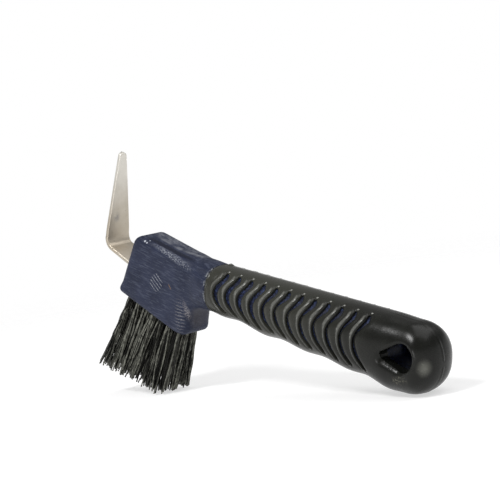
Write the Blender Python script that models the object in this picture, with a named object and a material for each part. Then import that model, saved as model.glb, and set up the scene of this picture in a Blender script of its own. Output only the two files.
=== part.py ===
"""Hoof pick with a brush: a moulded core with a soft grip, a bent steel pick and a staple-set brush.

Everything is modelled in the frame of the handle, in millimetres: +X runs from the head to the
butt, +Z is the thumb side of the handle, and the object is symmetric about Y = 0. The origin is
the centre of the collar, where the soft grip begins. settle() then turns the finished parts into
the pose that the pick rests in, and scales them to metres.
"""

import math

import bmesh
import bpy
from mathutils import Matrix, Vector

MM = 0.001
GAP = 0.3

# The grip's underside swells between the fingers: distance behind the collar, and height there.
UNDERSIDE = (
    (0.0, -10.6), (8.0, -11.4), (16.0, -11.1), (33.0, -13.8), (40.0, -13.4), (56.0, -15.3),
    (62.5, -15.1), (79.0, -17.2), (85.0, -17.0), (99.0, -19.8), (109.0, -19.5),
)
SPINE_AT_COLLAR = 9.6
SPINE_AT_BUTT = 9.2
HALF_WIDTH_AT_COLLAR = 10.1
HALF_WIDTH_AT_BUTT = 12.3
FULL_WIDTH_AT = 104.0
BUTT_END = 118.3
BUTT_ROUND_SIDE = 8.6
BUTT_ROUND_HEIGHT = 12.8
HANDLE_POWER = 2.35
GRIP_THICKNESS = 2.0
GRIP_STATIONS = 20
CORE_STATIONS = 16
RING_POINTS = 32

# Slots moulded through the grip, twelve on each side. A slot's bends give the angle from the spine
# and how far behind its station the slot lies there: it bends towards the head at mid height.
SLOT_COUNT = 12
SLOT_PITCH = 7.05
FIRST_SLOT = 9.9
SLOT_WIDTH = 2.3
SLOT_BENDS = ((21.0, 0.7), (38.0, 1.1), (82.0, -2.9), (127.0, 2.3))

# Hang hole through the butt: the shape round a large and a small circle.
HOLE_BIG = (106.1, -3.5, 5.6)
HOLE_SMALL = (97.8, -4.4, 2.0)

# Head block, seen from the side: the four corners of the brush face and the top.
FACE_FRONT = Vector((-56.7, -11.8))
FACE_REAR = Vector((-13.4, -25.0))
HEAD_REAR_TOP = Vector((-9.0, 8.6))
HEAD_FRONT_TOP = Vector((-45.8, 16.1))
HEAD_HALF_WIDTH = 7.8
HEAD_CORNER_RADIUS = 3.4
HEAD_TOP_RADIUS = 2.4
HEAD_TOE_RADIUS = 2.4
HEAD_HEEL_RADIUS = 4.5

# Steel pick: a strip bent from the upright blade into the tang that the head is moulded round.
STEEL_THICKNESS = 1.7
BLADE_TIP = Vector((-62.3, 48.2))
BLADE_BEND = Vector((-66.4, 6.7))
BLADE_BEND_RADIUS = 4.5
BLADE_WIDTHS = ((0.0, 1.0), (0.6, 1.6), (1.8, 2.0), (15.0, 3.65), (28.0, 5.25), (36.0, 6.2))
BLADE_HALF_WIDTH = 6.35
TANG_SLOPE = math.radians(-20.0)
TANG_SHOULDER = 20.5
TANG_LENGTH = 35.0
TANG_HALF_WIDTH = 5.2
TANG_HOLE_AT = 28.5
TANG_HOLE_RADIUS = 2.2

# Brush: three rows of tufts, each folded over a flat wire anchor in a drilled hole.
TUFT_ROWS = (-4.6, 0.0, 4.6)
TUFTS_PER_ROW = 7
FIRST_TUFT = 6.4
TUFT_PITCH = 5.2
TUFT_HOLE_RADIUS = 1.8
TUFT_HOLE_DEPTH = 9.0
TUFT_ROOT_RADIUS = 1.5
TUFT_TIP_RADIUS = 2.75
TUFT_FRONT_LENGTH = 38.5
TUFT_LENGTH_STEP = 1.35
TUFT_FRONT_LEAN = 24.6
TUFT_LEAN_STEP = 1.5
TUFT_SIDE_LEAN = 3.4
ANCHOR_SIZE = (0.35, 2.8, 1.5)
ANCHOR_DEPTH = 6.6
ANCHOR_WINDOW = (0.95, 4.0, 2.1)


def clear_scene():
    for obj in list(bpy.data.objects):
        bpy.data.objects.remove(obj, do_unlink=True)


def new_collection(name, hidden=False):
    collection = bpy.data.collections.new(name)
    collection.hide_render = hidden
    bpy.context.scene.collection.children.link(collection)
    return collection


def material(name, colour, roughness, metallic=0.0):
    made = bpy.data.materials.new(name)
    made.use_nodes = True
    shader = made.node_tree.nodes["Principled BSDF"]
    shader.inputs["Base Color"].default_value = (*colour, 1.0)
    shader.inputs["Roughness"].default_value = roughness
    shader.inputs["Metallic"].default_value = metallic
    return made


def new_object(name, mesh_builder, collection, surface=None):
    """An object whose mesh is the bmesh, with flat faces turned outwards."""
    bmesh.ops.recalc_face_normals(mesh_builder, faces=mesh_builder.faces[:])
    bmesh.ops.triangulate(mesh_builder, faces=mesh_builder.faces[:])
    mesh = bpy.data.meshes.new(name)
    mesh_builder.to_mesh(mesh)
    mesh_builder.free()
    obj = bpy.data.objects.new(name, mesh)
    if surface:
        mesh.materials.append(surface)
    if collection.hide_render:
        obj.hide_render = True
        obj.display_type = "WIRE"
    collection.objects.link(obj)
    return obj


def boolean(obj, operation, other):
    modifier = obj.modifiers.new(operation.title(), "BOOLEAN")
    modifier.operation = operation
    modifier.solver = "EXACT"
    modifier.object = other


def loft(sections, builder=None):
    """A closed body through rings with equally many points; a single point closes an end."""
    builder = builder or bmesh.new()
    rings = [[builder.verts.new(point) for point in section] for section in sections]
    for first, second in zip(rings, rings[1:]):
        count = max(len(first), len(second))
        for i in range(count):
            j = (i + 1) % count
            if len(first) == 1:
                builder.faces.new((first[0], second[i], second[j]))
            elif len(second) == 1:
                builder.faces.new((first[i], first[j], second[0]))
            else:
                builder.faces.new((first[i], first[j], second[j], second[i]))
    for end in (rings[0], rings[-1]):
        if len(end) > 2:
            builder.faces.new(end)
    return builder


def signed_power(value, power):
    return math.copysign(abs(value) ** power, value)


def oval(x, centre, half_width, half_height, power, count):
    """A ring across X: between an ellipse (power 2) and a rectangle (high powers)."""
    ring = []
    for i in range(count):
        angle = 2 * math.pi * i / count
        side = signed_power(math.sin(angle), 2 / power)
        up = signed_power(math.cos(angle), 2 / power)
        ring.append(Vector((x, half_width * side, centre + half_height * up)))
    return ring


def eased(stations, at):
    """The value at this place, eased from each station to the next and held beyond the ends."""
    if at <= stations[0][0]:
        return stations[0][1]
    for (start, first), (stop, second) in zip(stations, stations[1:]):
        if at <= stop:
            part = (at - start) / (stop - start)
            return first + (second - first) * (3 - 2 * part) * part * part
    return stations[-1][1]


def end_rounding(x, end, length):
    """1 along the handle, falling to 0 at its end over this length as an ellipse does."""
    past = max(0.0, (x - (end - length)) / length)
    return math.sqrt(max(0.0, 1 - past * past))


def handle_section(x, inset=0.0):
    """Centre, half width and half height of the handle at x, this far below the grip's surface."""
    top = SPINE_AT_COLLAR + (SPINE_AT_BUTT - SPINE_AT_COLLAR) * x / FULL_WIDTH_AT
    bottom = eased(UNDERSIDE, x)
    along = min(1.0, max(0.0, x / FULL_WIDTH_AT))
    half_width = HALF_WIDTH_AT_COLLAR + (HALF_WIDTH_AT_BUTT - HALF_WIDTH_AT_COLLAR) * along
    half_height = (top - bottom) / 2
    end = BUTT_END - inset
    half_width = (half_width - inset) * end_rounding(x, end, BUTT_ROUND_SIDE)
    half_height = (half_height - inset) * end_rounding(x, end, BUTT_ROUND_HEIGHT)
    return (top + bottom) / 2, half_width, half_height


def handle_stations(start, end, count):
    """Stations along the handle: even, then closing up over the round of the butt."""
    straight = end - BUTT_ROUND_HEIGHT
    stations = [start + (straight - start) * i / count for i in range(count)]
    stations += [straight + BUTT_ROUND_HEIGHT * math.sin(math.radians(a)) for a in range(0, 90, 15)]
    return stations


def handle_rings(start, inset, stations, count):
    """Rings from this station to the handle's end, this far below the grip's surface."""
    end = BUTT_END - inset
    rings = []
    for x in handle_stations(start, end, stations):
        centre, half_width, half_height = handle_section(x, inset)
        rings.append(oval(x, centre, half_width, half_height, HANDLE_POWER, count))
    rings.append([Vector((end, 0, handle_section(end, inset)[0]))])
    return rings


def grip_point(x, angle, out):
    """A point this far outside the grip's surface, at an angle from its spine round the -Y side."""
    centre, half_width, half_height = handle_section(x)
    side = signed_power(math.sin(angle), 2 / HANDLE_POWER)
    up = signed_power(math.cos(angle), 2 / HANDLE_POWER)
    point = Vector((x, -half_width * side, centre + half_height * up))
    away = Vector((0, -half_height * math.sin(angle), half_width * math.cos(angle))).normalized()
    return point + away * out


def slot_cutters(collection):
    """One mesh that cuts every slot of the grip, on both sides."""
    builder = bmesh.new()
    steps = 10
    for i in range(SLOT_COUNT):
        for mirrored in (1, -1):
            sections = []
            for step in range(steps):
                part = step / (steps - 1)
                angle = SLOT_BENDS[0][0] + (SLOT_BENDS[-1][0] - SLOT_BENDS[0][0]) * part
                taper = 0.55 if step in (0, steps - 1) else 1.0
                middle = FIRST_SLOT + SLOT_PITCH * i + eased(SLOT_BENDS, angle)
                half = SLOT_WIDTH / 2 * taper
                ring = []
                for across, out in ((-half, -4.5), (half, -4.5), (half, 1.5), (-half, 1.5)):
                    point = grip_point(middle, math.radians(angle), out)
                    point.x += across
                    point.y *= mirrored
                    ring.append(point)
                sections.append(ring)
            loft(sections, builder)
    return new_object("slot_cutters", builder, collection)


def hole_outline(grow):
    """The hang hole's outline round its two circles."""
    big = Vector(HOLE_BIG[:2])
    small = Vector(HOLE_SMALL[:2])
    line = big - small
    heading = math.atan2(line.y, line.x)
    spread = math.acos((HOLE_BIG[2] - HOLE_SMALL[2]) / line.length)
    outline = []
    arcs = (
        (big, HOLE_BIG[2] + grow, heading - math.pi + spread, heading + math.pi - spread, 14),
        (small, HOLE_SMALL[2] + grow, heading + math.pi - spread, heading + math.pi + spread, 5),
    )
    for centre, radius, start, stop, count in arcs:
        for i in range(count + 1):
            angle = start + (stop - start) * i / count
            outline.append(centre + radius * Vector((math.cos(angle), math.sin(angle))))
    return outline


def hang_hole_cutter(name, grow, collection):
    outline = hole_outline(grow)
    sections = [[Vector((p.x, y, p.y)) for p in outline] for y in (-20, 20)]
    return new_object(name, loft(sections), collection)


def grip_sleeve(parts, cutters, surface):
    outside = loft(handle_rings(GAP, 0.0, GRIP_STATIONS, RING_POINTS))
    obj = new_object("grip_sleeve", outside, parts, surface)
    inside = handle_rings(0.0, GRIP_THICKNESS, CORE_STATIONS, RING_POINTS)
    mouth = [point - Vector((2.0, 0, 0)) for point in inside[0]]
    hollow = new_object("grip_hollow", loft([mouth, *inside]), cutters)
    boolean(obj, "DIFFERENCE", hollow)
    boolean(obj, "DIFFERENCE", slot_cutters(cutters))
    boolean(obj, "DIFFERENCE", hang_hole_cutter("grip_hole_cutter", 0.0, cutters))
    return obj


def rounding_steps(radius):
    """How far below a rounded edge's corner, and how far in from it, each step of the round is."""
    turns = [math.radians(angle) for angle in (0, 30, 60, 90)]
    return [(radius * (1 - math.cos(turn)), radius * (1 - math.sin(turn))) for turn in turns]


def head_slice(front, rear, side_inset):
    """A rounded rectangle from the front point to the rear one, this far in at its sides."""
    middle = (front + rear) / 2
    along = (rear - front).normalized()
    half_length = (rear - front).length / 2 - HEAD_CORNER_RADIUS
    half_width = HEAD_HALF_WIDTH - side_inset - HEAD_CORNER_RADIUS
    ring = []
    for quarter, (end, side) in enumerate(((1, 1), (-1, 1), (-1, -1), (1, -1))):
        for angle in (0, 30, 60, 90):
            turn = math.radians(90 * quarter + angle)
            at = middle + along * (end * half_length + HEAD_CORNER_RADIUS * math.cos(turn))
            ring.append(Vector((at.x, side * half_width + HEAD_CORNER_RADIUS * math.sin(turn), at.y)))
    return ring


def head_block(collection):
    """The brush block: slices from the brush face to the top, with rounded corners and rims."""
    face = (FACE_REAR - FACE_FRONT).normalized()
    top = (HEAD_REAR_TOP - HEAD_FRONT_TOP).normalized()
    front_up = (HEAD_FRONT_TOP - FACE_FRONT).normalized()
    rear_up = (HEAD_REAR_TOP - FACE_REAR).normalized()
    slices = []
    for toe, heel in zip(rounding_steps(HEAD_TOE_RADIUS), rounding_steps(HEAD_HEEL_RADIUS)):
        front = FACE_FRONT + front_up * toe[0] + face * toe[1]
        rear = FACE_REAR + rear_up * heel[0] - face * heel[1]
        slices.append(head_slice(front, rear, 0.0))
    for down, inset in reversed(rounding_steps(HEAD_TOP_RADIUS)):
        front = HEAD_FRONT_TOP - front_up * down + top * inset
        rear = HEAD_REAR_TOP - rear_up * down - top * inset
        slices.append(head_slice(front, rear, inset))
    return new_object("head_block", loft(slices), collection)


def neck_and_core():
    """The neck, from a box inside the head to the round section at the collar, and the core."""
    outer = (
        (-30.0, 7.3, -9.0, 12.4, 5.0), (-20.0, 7.5, -9.8, 11.0, 4.8), (-14.0, 7.7, -10.2, 10.4, 4.4),
        (-8.5, 8.4, -10.4, 10.0, 3.5), (-4.0, 9.4, -10.5, 9.75, 2.8),
        (0.0, 10.1, -10.6, 9.6, HANDLE_POWER),
    )
    rings = []
    for x, half_width, bottom, top, power in outer:
        middle = (top + bottom) / 2
        rings.append(oval(x, middle, half_width, (top - bottom) / 2, power, RING_POINTS))
    rings += handle_rings(0.0, GRIP_THICKNESS + GAP, CORE_STATIONS, RING_POINTS)
    return loft(rings)


def tuft_frames():
    """For each tuft: its name, its length and the matrix from its root in the brush face."""
    along = (FACE_REAR - FACE_FRONT).normalized()
    for row, y in enumerate(TUFT_ROWS):
        for column in range(TUFTS_PER_ROW):
            at = FACE_FRONT + along * (FIRST_TUFT + TUFT_PITCH * column)
            lean = math.radians(TUFT_FRONT_LEAN - TUFT_LEAN_STEP * column)
            side = math.radians(TUFT_SIDE_LEAN) * (row - 1)
            turn = Matrix.Rotation(lean, 4, "Y") @ Matrix.Rotation(side, 4, "X")
            length = TUFT_FRONT_LENGTH - TUFT_LENGTH_STEP * column
            yield f"{'abc'[row]}{column + 1}", length, Matrix.Translation((at.x, y, at.y)) @ turn


def circle(radius, z, count, across=1.0):
    """A level ring; its points start half a step round, so that the ring has flat sides."""
    ring = []
    for i in range(count):
        angle = 2 * math.pi * (i + 0.5) / count
        ring.append(Vector((radius * math.cos(angle), radius * across * math.sin(angle), z)))
    return ring


def moved(sections, matrix):
    return [[matrix @ point for point in section] for section in sections]


def tuft_hole_cutters(collection):
    builder = bmesh.new()
    for _name, _length, frame in tuft_frames():
        rings = [circle(TUFT_HOLE_RADIUS, z, 10) for z in (-3.0, TUFT_HOLE_DEPTH)]
        loft(moved(rings, frame), builder)
    return new_object("tuft_hole_cutters", builder, collection)


def box_sections(size, centre_z):
    """Two rings that make a box of this size."""
    x, y, z = (side / 2 for side in size)
    corners = ((-x, -y), (x, -y), (x, y), (-x, y))
    return [[Vector((*corner, centre_z + end)) for corner in corners] for end in (-z, z)]


def tuft(name, length, frame, parts, cutters, surface):
    """A tuft of bristle: a round root in its hole, flaring to the trimmed tips."""
    rings = [
        circle(TUFT_ROOT_RADIUS * 0.8, TUFT_HOLE_DEPTH - GAP, 8),
        circle(TUFT_ROOT_RADIUS, TUFT_HOLE_DEPTH - GAP - 0.5, 8),
        circle(TUFT_ROOT_RADIUS, 0.0, 8),
        circle(TUFT_TIP_RADIUS, -length, 8),
    ]
    obj = new_object(f"tuft_{name}", loft(moved(rings, frame)), parts, surface)
    window = loft(moved(box_sections(ANCHOR_WINDOW, ANCHOR_DEPTH), frame))
    window_object = new_object(f"window_{name}", window, cutters)
    boolean(obj, "DIFFERENCE", window_object)
    return obj


def anchor(name, frame, parts, surface):
    """The flat wire that a tuft is folded over; its ends bite into the wall of the hole."""
    sections = moved(box_sections(ANCHOR_SIZE, ANCHOR_DEPTH), frame)
    return new_object(f"anchor_{name}", loft(sections), parts, surface)


def strip_path():
    """The strip's centre line from the tip down: points, directions and half widths."""
    down = (BLADE_BEND - BLADE_TIP).normalized()
    back = Vector((math.cos(TANG_SLOPE), math.sin(TANG_SLOPE)))
    turn = math.acos(down.dot(back))
    tangent = BLADE_BEND_RADIUS * math.tan(turn / 2)
    stations = [(BLADE_TIP + down * at, down, half) for at, half in BLADE_WIDTHS]
    start = BLADE_BEND - down * tangent
    centre = start + Vector((-down.y, down.x)) * BLADE_BEND_RADIUS
    for i in range(7):
        angle = turn * i / 6
        heading = Matrix.Rotation(angle, 2) @ down
        outward = Vector((heading.y, -heading.x))
        stations.append((centre + outward * BLADE_BEND_RADIUS, heading, BLADE_HALF_WIDTH))
    for at, half in (
        (TANG_SHOULDER - 1.0, BLADE_HALF_WIDTH), (TANG_SHOULDER, TANG_HALF_WIDTH),
        (TANG_LENGTH - 1.0, TANG_HALF_WIDTH), (TANG_LENGTH, TANG_HALF_WIDTH - 1.0),
    ):
        stations.append((BLADE_BEND + back * at, back, half))
    return stations


def strip(stations, grow):
    """The steel strip through these stations, or the space round it when it grows."""
    sections = []
    for at, heading, half in stations:
        out = Vector((heading.y, -heading.x)) * (STEEL_THICKNESS / 2 + grow)
        wide = half + grow
        corners = ((at + out, -wide), (at + out, wide), (at - out, wide), (at - out, -wide))
        sections.append([Vector((point.x, y, point.y)) for point, y in corners])
    return loft(sections)


def tang_peg(name, radius, collection):
    """A cylinder through the tang's hole, square to the tang."""
    back = Vector((math.cos(TANG_SLOPE), math.sin(TANG_SLOPE)))
    at = BLADE_BEND + back * TANG_HOLE_AT
    frame = Matrix.Translation((at.x, 0, at.y)) @ Matrix.Rotation(-TANG_SLOPE, 4, "Y")
    rings = [circle(radius, z, 16) for z in (-3.0, 3.0)]
    return new_object(name, loft(moved(rings, frame)), collection)


def pick_blade(parts, cutters, surface):
    obj = new_object("pick_blade", strip(strip_path(), 0.0), parts, surface)
    boolean(obj, "DIFFERENCE", tang_peg("tang_hole_cutter", TANG_HOLE_RADIUS, cutters))
    return obj


def tang_pocket(collection):
    """The space that the tang leaves in the head, with the peg of plastic through its hole."""
    tang = strip_path()[-4:]
    at, heading, half = tang[0]
    tang[0] = (at - heading * 8.0, heading, half)
    tang.insert(1, (at, heading, half))
    last, heading, half = tang[-1]
    tang[-1] = (last + heading * GAP, heading, half)
    pocket = new_object("tang_pocket", strip(tang, GAP), collection)
    boolean(pocket, "DIFFERENCE", tang_peg("tang_peg", TANG_HOLE_RADIUS - GAP, collection))
    return pocket


def handle_core(parts, cutters, surface):
    """Head, neck and handle core in one moulding."""
    obj = new_object("handle_core", neck_and_core(), parts, surface)
    boolean(obj, "UNION", head_block(cutters))
    boolean(obj, "DIFFERENCE", hang_hole_cutter("core_hole_cutter", GAP, cutters))
    boolean(obj, "DIFFERENCE", tuft_hole_cutters(cutters))
    boolean(obj, "DIFFERENCE", tang_pocket(cutters))
    return obj


def lowest(points, tilt):
    return min(point.z * math.cos(tilt) - point.x * math.sin(tilt) for point in points)


def resting_tilt(brush, handle):
    """The angle, head up, at which the brush and the butt both touch the floor."""
    low, high = math.radians(5), math.radians(30)
    for _ in range(50):
        tilt = (low + high) / 2
        if lowest(brush, tilt) < lowest(handle, tilt):
            low = tilt
        else:
            high = tilt
    return tilt


def settle(objects, sleeve, tufts):
    """Turns the parts to rest on the floor, centres them on it and scales them to metres."""
    brush = [vert.co for obj in tufts for vert in obj.data.vertices]
    handle = [vert.co for vert in sleeve.data.vertices]
    tilt = resting_tilt(brush, handle)
    turn = Matrix.Rotation(tilt, 4, "Y")
    points = [turn @ vert.co for obj in objects for vert in obj.data.vertices]
    low = Vector([min(point[axis] for point in points) for axis in range(3)])
    high = Vector([max(point[axis] for point in points) for axis in range(3)])
    shift = Matrix.Translation((-(low.x + high.x) / 2, -(low.y + high.y) / 2, -low.z))
    return Matrix.Scale(MM, 4) @ shift @ turn


def main():
    clear_scene()
    parts = new_collection("hoof_pick")
    cutters = new_collection("cutters", hidden=True)
    core_plastic = material("navy_plastic", (0.042, 0.052, 0.105), 0.5)
    soft_rubber = material("black_rubber", (0.035, 0.035, 0.032), 0.42)
    steel = material("satin_steel", (0.56, 0.53, 0.47), 0.38, 1.0)
    bristle = material("black_bristle", (0.02, 0.02, 0.018), 0.5)
    wire = material("anchor_wire", (0.6, 0.58, 0.52), 0.35, 1.0)

    core = handle_core(parts, cutters, core_plastic)
    sleeve = grip_sleeve(parts, cutters, soft_rubber)
    blade = pick_blade(parts, cutters, steel)
    tufts = []
    anchors = []
    for name, length, frame in tuft_frames():
        tufts.append(tuft(name, length, frame, parts, cutters, bristle))
        anchors.append(anchor(name, frame, parts, wire))
    rest = settle([core, sleeve, blade, *tufts, *anchors], sleeve, tufts)
    for obj in [*parts.objects, *cutters.objects]:
        obj.data.transform(rest)
    bpy.context.view_layer.update()


main()
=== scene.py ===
"""Looks of the hoof pick: moulded head and core, soft grip, bent steel pick and crimped brush.

Shapes are worked out in the frame of the handle, in millimetres: +X runs from the head to the butt,
+Z is the thumb side of the handle, and the origin is the middle of the collar. REST turns that
frame into the pose the pick rests in, in metres.
"""

import math
import random

import bmesh
import bpy
import numpy as np
from mathutils import Matrix, Vector


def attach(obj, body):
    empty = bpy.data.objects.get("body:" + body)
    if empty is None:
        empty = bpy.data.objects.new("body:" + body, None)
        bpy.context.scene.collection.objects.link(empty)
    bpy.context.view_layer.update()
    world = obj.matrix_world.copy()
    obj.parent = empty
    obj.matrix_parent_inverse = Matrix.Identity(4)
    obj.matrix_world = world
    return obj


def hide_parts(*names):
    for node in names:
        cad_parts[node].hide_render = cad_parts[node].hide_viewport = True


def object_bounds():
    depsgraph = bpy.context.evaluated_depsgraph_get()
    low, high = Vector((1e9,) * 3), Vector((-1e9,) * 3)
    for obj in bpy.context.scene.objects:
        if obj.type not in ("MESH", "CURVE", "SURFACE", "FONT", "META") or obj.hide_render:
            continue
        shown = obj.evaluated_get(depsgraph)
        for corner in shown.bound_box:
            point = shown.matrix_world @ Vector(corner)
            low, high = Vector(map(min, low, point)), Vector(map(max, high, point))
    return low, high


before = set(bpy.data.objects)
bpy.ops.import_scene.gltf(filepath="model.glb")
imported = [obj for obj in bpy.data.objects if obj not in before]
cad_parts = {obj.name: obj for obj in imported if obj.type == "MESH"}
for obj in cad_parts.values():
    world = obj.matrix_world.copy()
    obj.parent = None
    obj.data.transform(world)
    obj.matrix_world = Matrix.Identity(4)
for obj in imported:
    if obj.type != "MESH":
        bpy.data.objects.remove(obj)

CAD_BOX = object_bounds()

MM = 0.001
REST_TILT = math.radians(14.0486)
REST_SHIFT = Vector((-17.7734, 0.0, 44.7347))
REST = Matrix.Scale(MM, 4) @ Matrix.Translation(REST_SHIFT) @ Matrix.Rotation(REST_TILT, 4, "Y")

# The grip's outer surface, and how deep the core and the grip's inner wall lie under it.
UNDERSIDE = (
    (0.0, -10.6), (8.0, -11.4), (16.0, -11.1), (33.0, -13.8), (40.0, -13.4), (56.0, -15.3),
    (62.5, -15.1), (79.0, -17.2), (85.0, -17.0), (99.0, -19.8), (109.0, -19.5),
)
SPINE_AT_COLLAR = 9.6
SPINE_AT_BUTT = 9.2
HALF_WIDTH_AT_COLLAR = 10.1
HALF_WIDTH_AT_BUTT = 12.3
FULL_WIDTH_AT = 104.0
BUTT_END = 118.3
BUTT_ROUND_SIDE = 8.6
BUTT_ROUND_HEIGHT = 12.8
HANDLE_POWER = 2.35
GRIP_START = 0.15
CAD_HALF_WIDTH = 12.1
GRIP_INSET = 1.6
CORE_INSET = 1.1

# Slots through the grip: stations, and how far behind its station a slot lies at each angle.
SLOT_COUNT = 12
SLOT_PITCH = 7.05
FIRST_SLOT = 9.9
SLOT_BENDS = (
    (21.0, -0.1), (30.0, 0.5), (38.0, 0.8), (50.0, 0.1), (64.0, -1.6), (80.0, -2.9), (90.0, -2.8),
    (107.0, -0.8), (120.0, 1.6), (127.0, 2.6),
)
SLOT_TOP = 24.5
SLOT_BOTTOM = 126.0
SLOT_WIDTH = 3.2
MM_PER_DEGREE = 0.19

# Half the width of a slot at each angle: open all the way down, or closed part way down.
OPEN_SLOT = (
    (24.5, 0.6), (34.0, 1.05), (46.0, 1.4), (60.0, 1.4), (84.0, 1.2), (104.0, 0.9), (126.0, 0.55),
)
CLOSED_SLOT = (
    (24.5, 0.6), (34.0, 1.0), (44.0, 1.25), (55.0, 1.1), (68.0, 0.35), (72.0, 0.2), (84.0, 0.2),
    (94.0, 0.55), (110.0, 0.5), (126.0, 0.3),
)

# Studs at the tops of the slots, each in its dimple.
FIRST_STUD = FIRST_SLOT - 0.4
STUD_ANGLE = 20.6
STUD_RADIUS = 0.52
STUD_DEPTH = 0.36
DIMPLE_DEPTH = 0.12
DIMPLE_RADIUS = 0.65

# Hang hole: the shape round a large and a small circle.
HOLE_BIG = (106.1, -3.5, 5.6)
HOLE_SMALL = (97.8, -4.4, 2.0)

# Head block, seen from the side.
FACE_FRONT = Vector((-56.7, -11.8))
FACE_REAR = Vector((-13.4, -25.0))
HEAD_REAR_TOP = Vector((-9.0, 8.6))
HEAD_FRONT_TOP = Vector((-45.9, 15.7))
HEAD_HALF_WIDTH = 7.8

# Round patch of fine raised lines on the near side of the head.
LINES_CENTRE = Vector((-31.6, 0.0, -3.4))
LINES_RADIUS = 4.7
LINES_PITCH = 1.55
LINES_TURN = math.radians(-38.0)

# Neck, from inside the head to the collar: x, half width, bottom, top and squareness.
NECK = (
    (-30.0, 2.6, -5.0, 5.4, 3.0), (-24.0, 3.8, -7.0, 7.2, 3.4), (-18.0, 5.9, -9.2, 9.3, 4.0),
    (-13.0, 7.5, -10.1, 9.95, 4.0), (-8.0, 8.5, -10.35, 9.85, 3.4), (-4.0, 9.3, -10.5, 9.7, 2.8),
    (0.0, 10.0, -10.6, 9.55, 2.35),
)

# Steel strip.
STEEL_THICKNESS = 1.7
BLADE_TIP = Vector((-62.3, 48.2))
BLADE_BEND = Vector((-66.4, 6.7))
BLADE_BEND_RADIUS = 4.5
BLADE_WIDTHS = (
    (0.0, 0.9), (0.35, 1.35), (0.9, 1.75), (1.8, 2.0), (15.0, 3.65), (28.0, 5.25), (36.0, 6.2),
)
BLADE_HALF_WIDTH = 6.35
TANG_SLOPE = math.radians(-20.0)
TANG_SHOULDER = 20.5
TANG_LENGTH = 35.0
TANG_HALF_WIDTH = 5.2

# Brush.
TUFT_ROWS = (-4.6, 0.0, 4.6)
TUFTS_PER_ROW = 7
FIRST_TUFT = 6.4
TUFT_PITCH = 5.2
TUFT_HOLE_RADIUS = 1.8
TUFT_HOLE_DEPTH = 9.0
TUFT_ROOT_RADIUS = 1.45
TUFT_TIP_RADIUS = 3.1
TUFT_FRONT_LENGTH = 38.5
TUFT_LENGTH_STEP = 1.35
TUFT_FRONT_LEAN = 24.6
TUFT_LEAN_STEP = 1.5
TUFT_SIDE_LEAN = 3.4


def to_world(points):
    """Points of the handle's frame, in millimetres, as rows of metres in the rest pose."""
    turn = np.array(REST)[:3, :3]
    return np.asarray(points) @ turn.T + np.array(REST)[:3, 3]


def add_to_scene(name, data):
    added = bpy.data.objects.new(name, data)
    bpy.context.scene.collection.objects.link(added)
    return added


def new_piece(name, points, faces, surface, slot, *replaced):
    """A smooth-shaded piece from points in the handle's frame; it stands for the replaced nodes."""
    mesh = bpy.data.meshes.new(name)
    mesh.from_pydata(to_world(points).tolist(), [], [list(face) for face in faces])
    mesh.polygons.foreach_set("use_smooth", np.ones(len(mesh.polygons), bool))
    mesh.materials.append(surface)
    mesh.update()
    piece = add_to_scene(name, mesh)
    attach(piece, "root")
    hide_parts(*replaced)
    return piece


def tube_faces(first, rings, sides):
    """Faces of a closed tube, whose rings of points follow one another from this first point."""
    faces = []
    for ring in range(rings - 1):
        for side in range(sides):
            a = first + ring * sides + side
            b = first + ring * sides + (side + 1) % sides
            faces.append((a, b, b + sides, a + sides))
    last = first + (rings - 1) * sides
    faces.append(list(range(first, first + sides))[::-1])
    faces.append(list(range(last, last + sides)))
    return faces


def smoothstep(low, high, value):
    part = np.clip((value - low) / (high - low), 0.0, 1.0)
    return part * part * (3 - 2 * part)


def bell(value, width):
    return np.exp(-((value / width) ** 2))


def eased(stations, at):
    """Values at these places, eased from each station to the next and held beyond the ends."""
    at = np.asarray(at, float)
    value = np.full(at.shape, stations[0][1], float)
    for (start, first), (stop, second) in zip(stations, stations[1:]):
        value = np.where(at > start, first + (second - first) * smoothstep(start, stop, at), value)
    return value


def flowing(stations, at, reach):
    """Values at these places on a polyline whose corners are averaged over this reach."""
    places, values = np.array(stations, float).T
    offsets = np.linspace(-reach, reach, 9)
    weights = bell(offsets, reach * 0.7)
    total = sum(w * np.interp(at + d, places, values) for d, w in zip(offsets, weights))
    return total / weights.sum()


def end_rounding(x, end, length):
    past = np.clip((x - (end - length)) / length, 0.0, 1.0)
    return np.sqrt(1 - past * past)


def handle_section(x, inset=0.0):
    """Centre, half width and half height of the handle at x, this far below the grip's surface."""
    x = np.asarray(x, float)
    top = SPINE_AT_COLLAR + (SPINE_AT_BUTT - SPINE_AT_COLLAR) * x / FULL_WIDTH_AT
    bottom = eased(UNDERSIDE, x)
    along = np.clip(x / FULL_WIDTH_AT, 0.0, 1.0)
    half_width = HALF_WIDTH_AT_COLLAR + (HALF_WIDTH_AT_BUTT - HALF_WIDTH_AT_COLLAR) * along
    half_height = (top - bottom) / 2
    end = BUTT_END - inset
    half_width = (half_width - inset) * end_rounding(x, end, BUTT_ROUND_SIDE)
    half_height = (half_height - inset) * end_rounding(x, end, BUTT_ROUND_HEIGHT)
    return (top + bottom) / 2, half_width, half_height


# ---------------------------------------------------------------------------------------------
# Core: head, neck and handle core as one distance field, meshed where it crosses zero
# ---------------------------------------------------------------------------------------------

CORE_STEP = 0.45


def rounded_max(first, second, radius):
    """The overlap of two solids, with their shared edge rounded."""
    corner = np.hypot(np.maximum(first + radius, 0), np.maximum(second + radius, 0))
    return np.minimum(np.maximum(first, second), -radius) + corner


def rounded_min(first, second, radius):
    """The union of two solids, with the crease between them filled."""
    corner = np.hypot(np.maximum(radius - first, 0), np.maximum(radius - second, 0))
    return np.maximum(np.minimum(first, second), radius) - corner


def beyond(x, z, start, stop):
    """Distance outside the line from start to stop, on its left."""
    along = (stop - start).normalized()
    return (z - start.y) * along.x - (x - start.x) * along.y


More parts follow.
